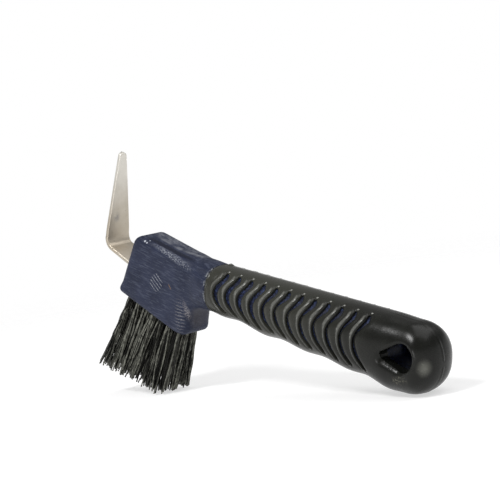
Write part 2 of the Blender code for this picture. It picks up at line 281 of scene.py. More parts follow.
def oval_distance(y, z, centre, half_width, half_height, power):
    half_width = np.maximum(half_width, 1e-3)
    half_height = np.maximum(half_height, 1e-3)
    ratio = (np.abs(y) / half_width) ** power + (np.abs(z - centre) / half_height) ** power
    return (ratio ** (1 / power) - 1) * np.minimum(half_width, half_height)


def head_field(x, y, z):
    top = beyond(x, z, HEAD_FRONT_TOP, HEAD_REAR_TOP)
    front = beyond(x, z, FACE_FRONT, HEAD_FRONT_TOP)
    face = beyond(x, z, FACE_REAR, FACE_FRONT)
    rear = beyond(x, z, HEAD_REAR_TOP, FACE_REAR)
    profile = rounded_max(top, front, 4.6)
    profile = rounded_max(profile, face, 2.2)
    profile = rounded_max(profile, rear, 5.2)
    corner = 0.9 + 1.7 * smoothstep(0.5, 6.0, -face) + 1.6 * smoothstep(-8.0, -3.0, rear)
    return rounded_max(profile, np.abs(y) - HEAD_HALF_WIDTH, corner)


def neck_field(x, y, z):
    places = [row[0] for row in NECK]
    values = [flowing([(row[0], row[i]) for row in NECK], x, 2.5) for i in range(1, 5)]
    half_width, bottom, top, power = values
    round_section = oval_distance(y, z, (top + bottom) / 2, half_width, (top - bottom) / 2, power)
    section = rounded_max(round_section, x, 0.35)
    return np.maximum(section, places[0] - x)


def core_field(x, y, z):
    centre, half_width, half_height = handle_section(np.maximum(x, 0.0), CORE_INSET)
    section = oval_distance(y, z, centre, half_width, half_height, HANDLE_POWER)
    return np.maximum(np.maximum(section, -1.0 - x), x - (BUTT_END - CORE_INSET))


def crease_union(first, second, radius, step):
    """The union of two solids, filled only where their surfaces meet at an angle."""
    slopes = [np.gradient(field.astype(np.float32), step) for field in (first, second)]
    agree = sum(a * b for a, b in zip(*slopes))
    return rounded_min(first, second, radius * np.clip(1.1 - agree, 0.02, 1.0))


def cylinder_distance(x, y, z, place, radius, low, high):
    """Distance outside an upright cylinder that stands in this place."""
    inverse = place.inverted()
    local = [
        inverse[i][0] * x + inverse[i][1] * y + inverse[i][2] * z + inverse[i][3] for i in range(3)
    ]
    side = np.hypot(local[0], local[1]) - radius
    return np.maximum(side, np.maximum(low - local[2], local[2] - high))


def hole_distance(x, z):
    """Distance outside the hang hole's outline, seen from the side."""
    big, small = Vector(HOLE_BIG[:2]), Vector(HOLE_SMALL[:2])
    line = small - big
    along = line.normalized()
    shrink = (HOLE_BIG[2] - HOLE_SMALL[2]) / line.length
    run = (x - big.x) * along.x + (z - big.y) * along.y
    side = np.abs(-(x - big.x) * along.y + (z - big.y) * along.x)
    lean = math.sqrt(1 - shrink * shrink)
    flank = side * lean + run * shrink - HOLE_BIG[2]
    past = run * lean - side * shrink
    near_big = np.hypot(run, side) - HOLE_BIG[2]
    near_small = np.hypot(run - line.length, side) - HOLE_SMALL[2]
    return np.where(past < 0, near_big, np.where(past > line.length * lean, near_small, flank))


def strip_distance(x, y, z, grow):
    """Distance outside the tang, grown by this much."""
    along = Vector((math.cos(TANG_SLOPE), math.sin(TANG_SLOPE)))
    run = (x - BLADE_BEND.x) * along.x + (z - BLADE_BEND.y) * along.y
    off = -(x - BLADE_BEND.x) * along.y + (z - BLADE_BEND.y) * along.x
    half = np.where(run < TANG_SHOULDER, BLADE_HALF_WIDTH, TANG_HALF_WIDTH)
    across = np.abs(y) - half - grow
    thick = np.abs(off) - STEEL_THICKNESS / 2 - grow
    return np.maximum(np.maximum(across, thick), np.maximum(2.0 - run, run - TANG_LENGTH - grow))


def surface_net(field, origin, step):
    """Points and quads of the surface where a sampled field crosses zero."""
    inside = field < 0
    size = np.array(field.shape) - 1
    corners = [(i, j, k) for i in (0, 1) for j in (0, 1) for k in (0, 1)]

    def at(values, corner):
        return values[tuple(slice(c, c + n) for c, n in zip(corner, size))]

    count = sum(at(inside, corner).astype(np.int8) for corner in corners)
    mixed = (count > 0) & (count < 8)
    cells = np.argwhere(mixed)
    index = np.full(mixed.shape, -1, np.int64)
    index[mixed] = np.arange(len(cells))
    total = np.zeros((len(cells), 3))
    crossings = np.zeros(len(cells))
    for first in corners:
        for axis in range(3):
            if first[axis]:
                continue
            second = tuple(c + (a == axis) for a, c in enumerate(first))
            start, stop = at(field, first)[mixed], at(field, second)[mixed]
            crosses = (start < 0) != (stop < 0)
            share = start / np.where(crosses, start - stop, 1.0)
            point = np.tile(np.array(first, float), (len(cells), 1))
            point[:, axis] += share
            total += np.where(crosses[:, None], point, 0.0)
            crossings += crosses
    points = (cells + total / crossings[:, None]) * step + origin
    quads = []
    for axis in range(3):
        ahead = tuple(slice(1, None) if a == axis else slice(None) for a in range(3))
        behind = tuple(slice(None, -1) if a == axis else slice(None) for a in range(3))
        change = inside[behind].astype(np.int8) - inside[ahead].astype(np.int8)
        u, v = (axis + 1) % 3, (axis + 2) % 3
        for sign in (1, -1):
            edges = np.argwhere(change == sign)
            around = []
            for du, dv in ((-1, -1), (0, -1), (0, 0), (-1, 0)):
                cell = edges.copy()
                cell[:, u] += du
                cell[:, v] += dv
                around.append(index[cell[:, 0], cell[:, 1], cell[:, 2]])
            quads.append(np.stack(around[::sign], axis=1))
    return points, np.concatenate(quads)


def moulded_core(surface):
    """Head, neck and core in one moulding."""
    origin = np.array((-60.6, -12.9, -28.0))
    far = np.array((118.2, 12.9, 18.4))
    counts = np.ceil((far - origin) / CORE_STEP).astype(int) + 1
    x, y, z = (
        (origin[a] + CORE_STEP * np.arange(counts[a])).reshape([-1 if b == a else 1 for b in range(3)])
        for a in range(3)
    )
    handle = np.minimum(neck_field(x, y, z), core_field(x, y, z))
    solid = crease_union(head_field(x, y, z), handle, 4.0, CORE_STEP)
    for _name, _length, tuft_frame in tuft_frames():
        hole = cylinder_distance(x, y, z, tuft_frame, TUFT_HOLE_RADIUS, -6.0, TUFT_HOLE_DEPTH)
        solid = np.maximum(solid, -hole)
    solid = np.maximum(solid, -strip_distance(x, y, z, 0.12))
    solid = rounded_max(solid, 1.7 - hole_distance(x, z) + 0 * y, 0.3)
    points, quads = surface_net(solid, origin, CORE_STEP)
    piece = new_piece("moulded_core", points, quads, surface, "core", "handle_core")
    soften = piece.modifiers.new("Soften", "SMOOTH")
    soften.factor = 0.5
    soften.iterations = 5


def witness_lines(surface):
    """A plain round patch of fine raised lines on the near side of the head."""
    along = Vector((math.cos(LINES_TURN), 0, math.sin(LINES_TURN)))
    across = Vector((-along.z, 0, along.x))
    side_wall = HEAD_HALF_WIDTH - 0.04
    profile = ((-0.21, -0.2), (-0.14, 0.07), (0.0, 0.12), (0.14, 0.07), (0.21, -0.2))
    steps = 12
    points, faces = [], []
    for line in range(-2, 3):
        offset = LINES_PITCH * line
        half_length = math.sqrt(LINES_RADIUS**2 - offset**2)
        faces += tube_faces(len(points), steps + 1, len(profile))
        for i in range(steps + 1):
            share = 2 * i / steps - 1
            taper = math.sqrt(max(0.0, 1 - share**4))
            for aside, out in profile:
                sideways = offset + aside * (0.3 + 0.7 * taper)
                at = LINES_CENTRE + along * half_length * share + across * sideways
                points.append((at.x, -side_wall - (out + 0.2) * taper + 0.2, at.z))
    new_piece("witness_lines", points, faces, surface, "core", "handle_core")


# ---------------------------------------------------------------------------------------------
# Grip: a grid of columns that follow the slots and rows round the handle
# ---------------------------------------------------------------------------------------------

RIB_STEPS = (0.0, 0.03, 0.08, 0.15, 0.24, 0.35, 0.47, 0.58, 0.68, 0.77, 0.85, 0.91, 0.96, 1.0)
SLOT_STEPS = (0.25, 0.5, 0.75)


def grip_rows():
    """Angles from the spine down one side, closing up at the ends of the slots."""
    rows = [0.0, 2.0, 5.0, 8.0, 11.0, 14.0, 16.0, 17.2, 18.2, 19.1, 20.0, 20.9, 21.8, 22.7, 23.6]
    rows += [SLOT_TOP, 25.0, 25.8, 26.8, 28.0]
    rows += list(np.linspace(29.6, 119.0, 41))
    rows += [121.0, 122.7, 124.0, 125.0, 125.6, SLOT_BOTTOM, 126.7, 128.0, 130.0, 133.0]
    rows += list(np.linspace(137.0, 180.0, 11))
    return np.array(rows)


def closing_of(slot):
    """0 for the slots near the head, which are open all the way down, rising to 1 for those behind."""
    return smoothstep(3.2, 6.0, slot)


def slot_half_width(slot, angle):
    open_width = flowing(OPEN_SLOT, angle, 6.0)
    closed_width = flowing(CLOSED_SLOT, angle, 4.0)
    narrowing = 1 - 0.3 * smoothstep(8.0, 12.0, slot)
    return (open_width + (closed_width - open_width) * closing_of(slot)) * narrowing


def slot_edges(slot, angle):
    """Where the two edges of a slot run, before the bend is added."""
    open_half = slot_half_width(slot, angle)
    middle = FIRST_SLOT + SLOT_PITCH * (slot - 1) - SLOT_WIDTH / 2 + open_half
    inside = np.minimum(angle - SLOT_TOP, SLOT_BOTTOM - angle) * MM_PER_DEGREE
    round_end = np.sqrt(1 - (1 - np.clip(inside / open_half, 0.0, 1.0)) ** 2)
    outside = 0.06 + 0.45 * smoothstep(0.0, 2.2, -inside)
    half = np.where(inside > 0, np.maximum(open_half * round_end, 0.06), outside)
    return middle - half, middle + half


def rib_height(after, before, angle, closing):
    """How far a rib stands out: after is the distance from the slot ahead, before to the next."""
    lower = smoothstep(66.0, 84.0, angle)
    web = closing * smoothstep(56.0, 66.0, angle) * (1 - smoothstep(112.0, 124.0, angle))
    on_side = smoothstep(23.0, 35.0, angle) * (1 - smoothstep(121.0, 134.0, angle))
    rise = -(0.65 + 0.25 * web) * (1 - np.clip(after / (1.8 + 0.6 * web), 0.0, 1.0)) ** 2
    crest = 1.4 - 0.6 * lower
    over = np.clip((crest - before) / crest, 0.0, 1.0)
    roll = -(0.6 - 0.28 * lower) * (1 - np.sqrt(1 - over * over))
    lip = (0.34 - 0.04 * lower) * bell(np.maximum(before - crest, 0.0), 0.7 - 0.3 * lower)
    valley = (-0.15 - 0.2 * lower) * bell(before - 2.9 + 1.1 * lower, 0.6)
    return rise + roll + (lip + valley) * on_side


def grip_columns():
    """For every column of the grip: the slot or rib it belongs to and its place across that."""
    columns = []
    for step in np.concatenate([np.linspace(0, 0.18, 7), np.linspace(0.24, 1.0, 15)]):
        columns.append(("collar", 0, step))
    for slot in range(1, SLOT_COUNT + 1):
        columns += [("slot", slot, step) for step in SLOT_STEPS]
        if slot < SLOT_COUNT:
            columns += [("rib", slot, step) for step in RIB_STEPS]
    butt = list(np.array(RIB_STEPS[:6]) * 0.16) + list(np.linspace(0.09, 0.82, 52))
    butt += [0.82 + 0.18 * math.sin(math.radians(a)) for a in range(9, 90, 9)]
    columns += [("butt", SLOT_COUNT, step) for step in butt]
    return columns


def grip_grid():
    """Station and height of the grip's surface for each row and column, down one side."""
    angles = grip_rows()
    bend = flowing(SLOT_BENDS, angles, 9.0)
    past_end = 0.45 * np.maximum(np.maximum(SLOT_TOP - angles, angles - SLOT_BOTTOM), 0.0)
    far = np.full(angles.shape, 9.0)
    stations = []
    heights = []
    for kind, slot, step in grip_columns():
        closing = closing_of(slot)
        left = slot_edges(slot, angles)[1] if slot else np.full(angles.shape, GRIP_START)
        if kind == "slot":
            start, stop = slot_edges(slot, angles)
            at = start + (stop - start) * step
            before_slot = rib_height(far, past_end, angles, closing)
            height = before_slot + (rib_height(past_end, far, angles, closing) - before_slot) * step
        elif kind == "butt":
            at = left + (BUTT_END - left) * step
            height = rib_height(np.hypot(at - left, past_end), far, angles, closing)
        else:
            right = slot_edges(slot + 1, angles)[0]
            at = left + (right - left) * step
            after = np.hypot(at - left, past_end) if slot else far
            height = rib_height(after, np.hypot(right - at, past_end), angles, closing)
            crown = math.sin(math.pi * step) * bell(angles - 78.0, 26.0)
            height = height + (0.16 * crown if slot else 0.0)
        hold = smoothstep(1.0, 7.0, at) * (1 - smoothstep(92.0, 104.0, at))
        stations.append(at + bend * hold)
        heights.append(height)
    return angles, np.array(stations).T, np.array(heights).T


def grip_details(x, y, z, angle, height):
    """Stud dimples, collar rim, nub, mould seam and the lip of the hang hole, added to the height."""
    for slot in range(SLOT_COUNT):
        across = x - (FIRST_STUD + SLOT_PITCH * slot)
        down = (np.abs(angle) - STUD_ANGLE) * MM_PER_DEGREE
        height = height + (-DIMPLE_DEPTH - height) * bell(np.hypot(across, down), DIMPLE_RADIUS)
    height = height - 0.5 * (1 - smoothstep(0.0, 0.7, x - GRIP_START))
    height = height - 0.32 * smoothstep(94.0, 104.0, x)
    height = height - 0.25 * bell(x - 1.5, 0.25)
    height = height + 0.75 * bell(x - 3.0, 1.0) * bell((angle + 14.0) * MM_PER_DEGREE, 1.1)
    seam = smoothstep(88.0, 100.0, x)
    height = height + seam * (0.12 * bell(y, 0.3) - 0.07 * bell(np.abs(y) - 0.8, 0.4))
    lip = hole_shoulder(x, y, z, 1.3 + 1.9 * lower_flank(x, z))
    return height - (1.0 + 1.0 * lower_flank(x, z)) * lip - 0.3 * hole_dish(x, y, z)


def lower_flank(x, z):
    """1 below and ahead of the hang hole, where its lip is broad and deep, and 0 elsewhere."""
    return smoothstep(-2.0, 3.0, HOLE_BIG[0] - x) * smoothstep(-1.0, 4.5, HOLE_BIG[1] - z)


def hole_shoulder(x, y, z, reach):
    """1 at the edge of the hang hole and more inside it, falling to 0 at this reach outside."""
    slope = np.clip(1 - hole_distance(x, z) / reach, 0.0, 1.2)
    return smoothstep(4.0, 8.0, np.abs(y)) * slope**2


def hole_dish(x, y, z):
    """1 at the edge of the hang hole, falling away gently round it."""
    return smoothstep(4.0, 8.0, np.abs(y)) * bell(np.maximum(hole_distance(x, z), 0.0), 4.0)


def outline_shares(angle):
    """How far across and up the handle's outline lies at this angle, in shares of its half sizes."""
    turn = np.radians(angle)
    power = 2 / HANDLE_POWER
    across = np.sign(np.sin(turn)) * np.abs(np.sin(turn)) ** power
    up = np.sign(np.cos(turn)) * np.abs(np.cos(turn)) ** power
    return across, up


def outline_point(section, angle):
    """The Y and Z of a section's outline at this angle from the spine, on the -Y side."""
    centre, half_width, half_height = section
    across, up = outline_shares(angle)
    return -half_width * across, centre + half_height * up


def surface_points(x, angle, out):
    """Points this far outside the handle's surface, at this angle from the spine on the -Y side."""
    section = handle_section(np.minimum(x, BUTT_END - 1e-4))
    y, z = outline_point(section, angle)
    step = 0.05
    ahead = handle_section(np.minimum(x + step, BUTT_END - 1e-4))
    behind = handle_section(np.maximum(x - step, 0.0))
    across, up = outline_shares(angle)
    slope_y = (-(ahead[1] - behind[1]) * across) / (2 * step)
    slope_z = (ahead[0] - behind[0] + (ahead[2] - behind[2]) * up) / (2 * step)
    away_y = -section[2] * np.sin(np.radians(angle))
    away_z = section[1] * np.cos(np.radians(angle))
    away_x = -(away_y * slope_y + away_z * slope_z)
    length = np.sqrt(away_x**2 + away_y**2 + away_z**2) + 1e-9
    return np.stack(
        [x + out * away_x / length, y + out * away_y / length, z + out * away_z / length], axis=-1
    )


def grip_sheets():
    """The angles of the rows on one side, and all outer points, inner points and heights."""
    angles, stations, heights = grip_grid()
    spread = np.repeat(angles[:, None], stations.shape[1], axis=1)
    angle, x, height = (
        np.concatenate([sheet * sign, sheet[-2:0:-1]])
        for sheet, sign in ((spread, -1), (stations, 1), (heights, 1))
    )
    y, z = outline_point(handle_section(np.minimum(x, BUTT_END - 1e-4)), angle)
    height = grip_details(x, y, z, angle, height)
    outer = surface_points(x, angle, height)
    outer[..., 1] = np.clip(outer[..., 1], -CAD_HALF_WIDTH, CAD_HALF_WIDTH)
    inner_x = np.minimum(x, BUTT_END - GRIP_INSET - 0.02 * (BUTT_END - x))
    inner_y, inner_z = outline_point(handle_section(inner_x, GRIP_INSET), angle)
    inner_y = inner_y * (1 - 0.45 * hole_shoulder(inner_x, inner_y, inner_z, 2.2) ** 0.5)
    near_hole = smoothstep(4.0, 8.0, np.abs(y)) * (1 - smoothstep(0.5, 3.5, hole_distance(x, z)))
    inner_x = inner_x + near_hole * (outer[..., 0] - inner_x)
    inner_z = inner_z + near_hole * (outer[..., 2] - inner_z)
    return angles, outer, np.stack([inner_x, inner_y, inner_z], axis=-1), height


def onto_hole_outline(x, z):
    """Points seen from the side, moved to the nearest point of the hang hole's outline."""
    step = 0.01
    for _pass in range(3):
        gap = hole_distance(x, z)
        slope_x = (hole_distance(x + step, z) - gap) / step
        slope_z = (hole_distance(x, z + step) - gap) / step
        x = x - gap * slope_x
        z = z - gap * slope_z
    return x, z


def open_hole(outer, inner):
    """Finds the cells of the sheets in the hang hole, and moves its rim in both to its outline."""
    away = hole_distance(outer[..., 0], outer[..., 2]) + 99.0 * (np.abs(outer[..., 1]) < 4.0)
    below = np.roll(away, -1, axis=0)
    in_hole = away[:, :-1] + away[:, 1:] + below[:, :-1] + below[:, 1:] < 0
    wide = np.pad(in_hole, ((0, 0), (1, 1)))
    around = np.stack([wide[:, :-1], wide[:, 1:]])
    around = np.concatenate([around, np.roll(around, 1, axis=1)])
    rim = around.any(axis=0) & ~around.all(axis=0)
    for sheet in (outer, inner):
        sheet[rim, 0], sheet[rim, 2] = onto_hole_outline(sheet[rim, 0], sheet[rim, 2])
    x, z = inner[rim, 0], inner[rim, 2]
    centre, half_width, half_height = handle_section(x)
    bulge = (1 - np.abs((z - centre) / half_height) ** HANDLE_POWER) ** (1 / HANDLE_POWER)
    flank = lower_flank(x, z)
    level = np.sign(outer[rim, 1]) * (half_width * bulge - 1.6 - flank)
    outer[rim, 1] += flank * (level - outer[rim, 1])
    return in_hole


def grip_mesh():
    """Points and quads of the closed grip, with its slots open, and how proud each point stands."""
    angles, outer, inner, height = grip_sheets()
    rows, columns = outer.shape[:2]
    kinds = [kind for kind, _slot, _step in grip_columns()]
    index = np.arange(rows * columns).reshape(rows, columns)
    inward = index + rows * columns
    open_row = [
        SLOT_TOP - 1e-6 <= angles[j] and angles[j + 1] <= SLOT_BOTTOM + 1e-6
        for j in range(len(angles) - 1)
    ]
    open_row = np.array(open_row + open_row[::-1])
    slot_cell = np.array(["slot" in kinds[k : k + 2] for k in range(columns - 1)])
    is_open = (open_row[:, None] & slot_cell[None, :]) | open_hole(outer, inner)
    down = np.roll(np.arange(rows), -1)
    faces = []
    for j in range(rows):
        for k in range(columns - 1):
            if not is_open[j, k]:
                corners = ((j, k), (j, k + 1), (down[j], k + 1), (down[j], k))
                faces.append([index[c] for c in corners])
                faces.append([inward[c] for c in reversed(corners)])
                continue
            edges = (
                (is_open[j - 1, k], (j, k), (j, k + 1)),
                (is_open[down[j], k], (down[j], k + 1), (down[j], k)),
                (is_open[j, k - 1], (down[j], k), (j, k)),
                (is_open[j, k + 1], (j, k + 1), (down[j], k + 1)),
            )
            for neighbour_open, first, second in edges:
                if not neighbour_open:
                    faces.append([index[first], inward[first], inward[second], index[second]])
    for j in range(rows):
        faces.append([index[j, 0], index[down[j], 0], inward[down[j], 0], inward[j, 0]])
    points = np.concatenate([outer.reshape(-1, 3), inner.reshape(-1, 3)])
    for sheet in (index, inward):
        pole = len(points)
        points = np.vstack([points, points[sheet[:, -1]].mean(axis=0)])
        for j in range(rows):
            rim = [sheet[j, -1], pole, sheet[down[j], -1]]
            faces.append(rim if sheet is index else rim[::-1])
    proud = np.zeros(len(points))
    proud[: height.size] = np.clip((height.ravel() - 0.16) / 0.2, 0.0, 1.0)
    return points, faces, proud


def soft_grip(surface):
    points, faces, proud = grip_mesh()
    piece = new_piece("soft_grip", points, faces, surface, "grip", "grip_sleeve")
    piece.data.attributes.new("proud", "FLOAT", "POINT").data.foreach_set("value", proud)
    piece.data.set_sharp_from_angle(angle=math.radians(34))


def grip_studs(surface):
    """The small round stud at the top of every slot, on both sides, each sunk in its dimple."""
    builder = bmesh.new()
    for slot in range(SLOT_COUNT):
        for side in (1, -1):
            x = np.array(FIRST_STUD + SLOT_PITCH * slot)
            centre = surface_points(x, np.array(side * STUD_ANGLE), np.array(-STUD_DEPTH))
            bmesh.ops.create_uvsphere(
                builder, u_segments=16, v_segments=10, radius=STUD_RADIUS,
                matrix=Matrix.Translation(centre.tolist()),
            )
    builder.verts.ensure_lookup_table()
    builder.verts.index_update()
    points = [vert.co.copy() for vert in builder.verts]
    faces = [[vert.index for vert in face.verts] for face in builder.faces]
    builder.free()
    new_piece("grip_studs", points, faces, surface, "grip", "grip_sleeve")


# ---------------------------------------------------------------------------------------------
# Pick: the bent strip, with its edges rounded
# ---------------------------------------------------------------------------------------------

def strip_stations():
    """The strip's centre line from the tip down: points, directions and half widths."""
    down = (BLADE_BEND - BLADE_TIP).normalized()
    back = Vector((math.cos(TANG_SLOPE), math.sin(TANG_SLOPE)))
    turn = math.acos(down.dot(back))
    tangent = BLADE_BEND_RADIUS * math.tan(turn / 2)
    straight = (BLADE_BEND - BLADE_TIP).length - tangent
    stations = []
    for at in [0.0, 0.06, 0.2, 0.4, 0.65, 0.95, 1.3, 1.7, 2.2] + list(np.arange(3.0, straight, 1.0)):
        half = float(flowing(BLADE_WIDTHS, np.array(at), 0.3 if at < 2.0 else 2.5))
        round_tip = math.sqrt(1 - (1 - min(1.0, (at + 0.02) / 1.4)) ** 2)
        stations.append((BLADE_TIP + down * at, down, half * round_tip))
    start = BLADE_TIP + down * straight
    centre = start + Vector((-down.y, down.x)) * BLADE_BEND_RADIUS
    for i in range(17):
        heading = Matrix.Rotation(turn * i / 16, 2) @ down
        outward = Vector((heading.y, -heading.x))
        stations.append((centre + outward * BLADE_BEND_RADIUS, heading, BLADE_HALF_WIDTH))
    shoulder = np.arange(tangent + 0.8, TANG_SHOULDER - 0.8, 0.8)
    for at in shoulder:
        stations.append((BLADE_BEND + back * float(at), back, BLADE_HALF_WIDTH))
    for at, half in (
        (TANG_SHOULDER - 0.9, BLADE_HALF_WIDTH - 0.05), (TANG_SHOULDER - 0.3, BLADE_HALF_WIDTH - 0.5),
        (TANG_SHOULDER + 0.1, TANG_HALF_WIDTH), (TANG_LENGTH - 1.2, TANG_HALF_WIDTH),
        (TANG_LENGTH - 0.4, TANG_HALF_WIDTH - 0.5), (TANG_LENGTH, TANG_HALF_WIDTH - 1.2),
    ):
        stations.append((BLADE_BEND + back * at, back, half))
    return stations


def strip_ring(at, heading, half):
    """A ring round the strip: nearly flat faces and rounded edges."""
    thick = STEEL_THICKNESS / 2
    edge = min(0.42, half * 0.8)
    out = Vector((heading.y, -heading.x))
    ring = []
    for side, face in ((1, 1), (1, -1), (-1, -1), (-1, 1)):
        turns = range(0, 91, 18) if side * face > 0 else range(90, -1, -18)
        for turn in turns:
            angle = math.radians(turn)
            y = side * (half - edge + edge * math.sin(angle))
            rise = face * (thick - edge + edge * math.cos(angle))
            ring.append((at.x + out.x * rise, y, at.y + out.y * rise))
    return ring


def steel_pick(surface):
    rings = [strip_ring(*station) for station in strip_stations()]
    points = [point for ring in rings for point in ring]
    faces = tube_faces(0, len(rings), len(rings[0]))
    new_piece("steel_pick", points, faces, surface, "steel", "pick_blade")


# ---------------------------------------------------------------------------------------------
# Brush: crimped filaments, one piece for each tuft
# ---------------------------------------------------------------------------------------------

FILAMENTS_PER_TUFT = 34
FILAMENT_RADIUS = 0.31
FILAMENT_SIDES = 5
FILAMENT_STEPS = 22


def tuft_frames():
    """For each tuft: its name, its length and the matrix from its root in the brush face."""
    along = (FACE_REAR - FACE_FRONT).normalized()
    for row, y in enumerate(TUFT_ROWS):
        for column in range(TUFTS_PER_ROW):
            at = FACE_FRONT + along * (FIRST_TUFT + TUFT_PITCH * column)
            lean = math.radians(TUFT_FRONT_LEAN - TUFT_LEAN_STEP * column)
            side = math.radians(TUFT_SIDE_LEAN) * (row - 1)
            turn = Matrix.Rotation(lean, 4, "Y") @ Matrix.Rotation(side, 4, "X")
            length = TUFT_FRONT_LENGTH - TUFT_LENGTH_STEP * column
            yield f"{'abc'[row]}{column + 1}", length, Matrix.Translation((at.x, y, at.y)) @ turn


def filament_line(draw, length, clumps, ahead, back):
    """The centre line of one filament in its tuft's frame, with its tip between ahead and back."""
    heading = draw.uniform(0, 2 * math.pi)
    away = math.sqrt(draw.random())
    out = Vector((math.cos(heading), math.sin(heading), 0))
    root = out * TUFT_ROOT_RADIUS * away
    tip = out * TUFT_TIP_RADIUS * away * draw.uniform(0.8, 1.1)
    tip = tip.lerp(draw.choice(clumps), 0.5)
    tip += Vector((draw.gauss(0, 1.9), draw.gauss(0, 0.9), 0))
    tip *= min(1.0, 5.0 / max(tip.length, 0.1))
    tip.x = min(max(tip.x, ahead), back)
    reach = length + 0.6 - abs(draw.gauss(0, 1.7))
    if draw.random() < 0.04:
        reach += draw.uniform(0.6, 2.2)
    plane = draw.uniform(0, math.pi)
    crimp = Vector((math.cos(plane), math.sin(plane), 0)) * draw.uniform(0.05, 0.26)
    wave = draw.uniform(8.5, 15.0)
    phase = draw.uniform(0, 2 * math.pi)
    bow = Vector((min(draw.gauss(0, 0.8), 0.3 * back), draw.gauss(0, 0.4), 0))
    line = []
    depth = TUFT_HOLE_DEPTH - 1.0
    for i in range(FILAMENT_STEPS + 1):
        run = -depth + (reach + depth) * i / FILAMENT_STEPS
        share = max(0.0, run) / length
        free = min(1.0, max(0.0, run) / 4.0)
        point = root.lerp(tip, share**0.9) + bow * math.sin(math.pi * min(1.0, share))
        point = point + crimp * free * math.sin(2 * math.pi * run / wave + phase)
        line.append(Vector((point.x, point.y, -run)))
    return line


def filament_mesh(line, points, faces):
    """A thin tube along the line, closed at its tip and root, added to the points and faces."""
    faces.extend(tube_faces(len(points), len(line), FILAMENT_SIDES))
    for i, point in enumerate(line):
        ahead = (line[min(i + 1, len(line) - 1)] - line[max(i - 1, 0)]).normalized()
        across = ahead.cross(Vector((0, 1, 0))).normalized()
        other = ahead.cross(across)
        for side in range(FILAMENT_SIDES):
            turn = 2 * math.pi * side / FILAMENT_SIDES
            offset = across * math.cos(turn) + other * math.sin(turn)
            points.append(point + offset * FILAMENT_RADIUS)


def bristle_tuft(name, length, tuft_frame, surface, draw):
    """The filaments of one tuft, gathered loosely into clumps, cut short below the floor and ahead of
    the CAD's box.
    """
    clumps = [Vector((draw.gauss(0, 2.0), draw.gauss(0, 1.5), 0)) for _clump in range(5)]
    ahead = -2.2 if name.endswith("1") else -5.0
    back = 1.2 if name.endswith(str(TUFTS_PER_ROW)) else 5.0
    points, faces, strand_highlights = [], [], []
    for _filament in range(FILAMENTS_PER_TUFT):
        line = [tuft_frame @ point for point in filament_line(draw, length, clumps, ahead, back)]
        while not in_box(line[-1]):
            line.pop()
        before = len(points)
        filament_mesh(line, points, faces)
        # Painted highlight: a random value for each filament, which the bristle material turns into
        # pale, lit strands.
        strand_highlights += [draw.random()] * (len(points) - before)
    piece = new_piece(f"bristles_{name}", points, faces, surface, "bristle", f"tuft_{name}")
    strand_highlight = piece.data.attributes.new("strand_highlight", "FLOAT", "POINT")
    strand_highlight.data.foreach_set("value", strand_highlights)


def in_box(point):
    """Whether a filament may end here: above the floor and not ahead of the CAD's brush."""
    placed = REST @ point
    margin = FILAMENT_RADIUS * MM
    return placed.z > margin and placed.x > CAD_BOX[0][0] + margin


# ---------------------------------------------------------------------------------------------
# Materials
# ---------------------------------------------------------------------------------------------

